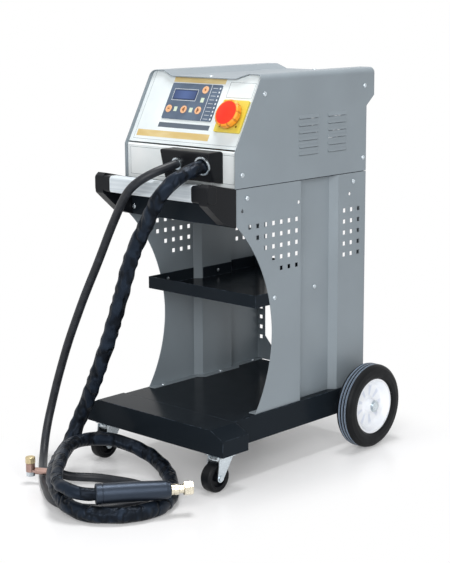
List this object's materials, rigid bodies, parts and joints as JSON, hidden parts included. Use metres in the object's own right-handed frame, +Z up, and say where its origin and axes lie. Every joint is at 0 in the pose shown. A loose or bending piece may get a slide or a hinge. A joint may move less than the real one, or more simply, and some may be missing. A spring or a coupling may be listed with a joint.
{
  "type": "dent pulling welder",
  "caption": "Wheeled dent pulling welder: hooded power unit with sloping control panel on an open shelf cabinet, with a spot gun and an earth cable.",
  "frame": {"origin": "on the floor, under the middle of the machine without its cables", "axes": "+Z up, -Y to the front with the control panel and push handle, +X to the right"},
  "size_m": [0.5298, 0.9085, 0.871],
  "materials": {
    "powder_coat_grey": "satin powder coat, grey blue",
    "base_black": "satin black powder coat",
    "panel_white": "satin white",
    "zinc": "bright zinc plate",
    "wheel_white": "gloss white enamel",
    "black_rubber": "matt black rubber",
    "cable_rubber": "matt black rubber sheath",
    "bar_aluminium": "brushed, clear anodised",
    "black_plastic": "fine moulded texture",
    "keypad_slate": "printed film",
    "lcd": "clear window over a blue display",
    "key_plastic": "smooth",
    "stop_yellow": "smooth",
    "stop_red": "smooth",
    "brass": "turned",
    "copper": "bare copper",
    "core_steel": "laminated electrical steel",
    "coil_enamel": "varnished windings",
    "heat_sink": "extruded",
    "board_green": "circuit board"
  },
  "bodies": {
    "cart": {"base_deck": "base_black", "front_beam": "base_black", "rear_axle": "zinc", "axle_fittings": "zinc", "caster_bolts": "zinc", "right_side_panel": "powder_coat_grey", "left_side_panel": "powder_coat_grey", "shelf_tray": "base_black", "cabinet_screws": "zinc", "chassis_pan": "base_black", "right_handle_bracket": "black_plastic", "left_handle_bracket": "black_plastic", "handle_bar": "bar_aluminium", "hood": "powder_coat_grey", "hood_screws": "zinc", "control_panel": "panel_white", "lower_front_panel": "panel_white", "keypad": "keypad_slate", "lcd_window": "lcd", "stop_plate": "stop_yellow", "stop_contacts": "black_plastic", "cable_outlet": "black_plastic", "cable_glands": "zinc", "rear_panel": "powder_coat_grey", "fan_frame": "black_plastic", "fan_grille": "zinc", "transformer_core": "core_steel", "transformer_windings": "coil_enamel", "busbars": "copper", "thyristor_block": "heat_sink", "control_board": "board_green", "gun_cable": "cable_rubber", "earth_cable": "cable_rubber", "gun_handle": "black_plastic", "gun_chuck": "brass", "earth_lug": "copper", "earth_bolt": "zinc", "right_caster_plate": "zinc", "left_caster_plate": "zinc"},
    "right_rear_wheel": {"right_wheel_disc": "wheel_white", "right_tyre": "black_rubber"},
    "right_caster": {"right_caster_fork": "zinc", "right_caster_axle": "zinc"},
    "right_caster_roller": {"right_caster_wheel": "black_plastic", "right_caster_tyre": "black_rubber"},
    "left_rear_wheel": {"left_wheel_disc": "wheel_white", "left_tyre": "black_rubber"},
    "left_caster": {"left_caster_fork": "zinc", "left_caster_axle": "zinc"},
    "left_caster_roller": {"left_caster_wheel": "black_plastic", "left_caster_tyre": "black_rubber"},
    "fan": {"fan_rotor": "black_plastic"},
    "stop_plunger": {"stop_plunger": "black_plastic"},
    "stop_cap": {"stop_cap": "stop_red"},
    "mode_key": {"mode_key": "key_plastic"},
    "minus_key": {"minus_key": "key_plastic"},
    "plus_key": {"plus_key": "key_plastic"},
    "set_key": {"set_key": "key_plastic"},
    "chuck_nut": {"chuck_nut": "brass"},
    "earth_knob": {"earth_knob": "brass"}
  },
  "joints": [
    {"name": "right_wheel_turn", "type": "hinge", "parent": "cart", "child": "right_rear_wheel", "pos_m": [0.216, 0.203, 0.0975], "axis": [1, 0, 0], "continuous": true},
    {"name": "right_caster_swivel", "type": "hinge", "parent": "cart", "child": "right_caster", "pos_m": [0.174, -0.2525, 0.076], "axis": [0, 0, 1], "continuous": true},
    {"name": "right_caster_turn", "type": "hinge", "parent": "right_caster", "child": "right_caster_roller", "pos_m": [0.174, -0.2705, 0.0325], "axis": [1, 0, 0], "continuous": true},
    {"name": "left_wheel_turn", "type": "hinge", "parent": "cart", "child": "left_rear_wheel", "pos_m": [-0.216, 0.203, 0.0975], "axis": [1, 0, 0], "continuous": true},
    {"name": "left_caster_swivel", "type": "hinge", "parent": "cart", "child": "left_caster", "pos_m": [-0.174, -0.2525, 0.076], "axis": [0, 0, 1], "continuous": true},
    {"name": "left_caster_turn", "type": "hinge", "parent": "left_caster", "child": "left_caster_roller", "pos_m": [-0.174, -0.2705, 0.0325], "axis": [1, 0, 0], "continuous": true},
    {"name": "fan_spin", "type": "hinge", "parent": "cart", "child": "fan", "pos_m": [0.06, 0.23, 0.745], "axis": [0, 1, 0], "continuous": true},
    {"name": "stop_push", "type": "slide", "parent": "cart", "child": "stop_plunger", "axis": [0, 0.8797, -0.4755], "range_m": [0, 0.005]},
    {"name": "stop_twist", "type": "hinge", "parent": "stop_plunger", "child": "stop_cap", "pos_m": [0.117, -0.1495, 0.78221], "axis": [0, -0.8797, 0.4755], "range_deg": [0, 45], "stiffness_Nm_per_rad": 0.3},
    {"name": "mode_press", "type": "slide", "parent": "cart", "child": "mode_key", "axis": [0, 0.8797, -0.4755], "range_m": [0, 0.0006], "stiffness_N_per_m": 1500},
    {"name": "minus_press", "type": "slide", "parent": "cart", "child": "minus_key", "axis": [0, 0.8797, -0.4755], "range_m": [0, 0.0006], "stiffness_N_per_m": 1500},
    {"name": "plus_press", "type": "slide", "parent": "cart", "child": "plus_key", "axis": [0, 0.8797, -0.4755], "range_m": [0, 0.0006], "stiffness_N_per_m": 1500},
    {"name": "set_press", "type": "slide", "parent": "cart", "child": "set_key", "axis": [0, 0.8797, -0.4755], "range_m": [0, 0.0006], "stiffness_N_per_m": 1500},
    {"name": "chuck_nut_turn", "type": "hinge", "parent": "cart", "child": "chuck_nut", "pos_m": [0.22838, -0.40555, 0.05477], "axis": [0.5823, 0.8129, -0.0065], "continuous": true},
    {"name": "earth_knob_turn", "type": "hinge", "parent": "cart", "child": "earth_knob", "pos_m": [-0.15871, -0.4986, 0.052], "axis": [0, 0, 1], "continuous": true}
  ]
}
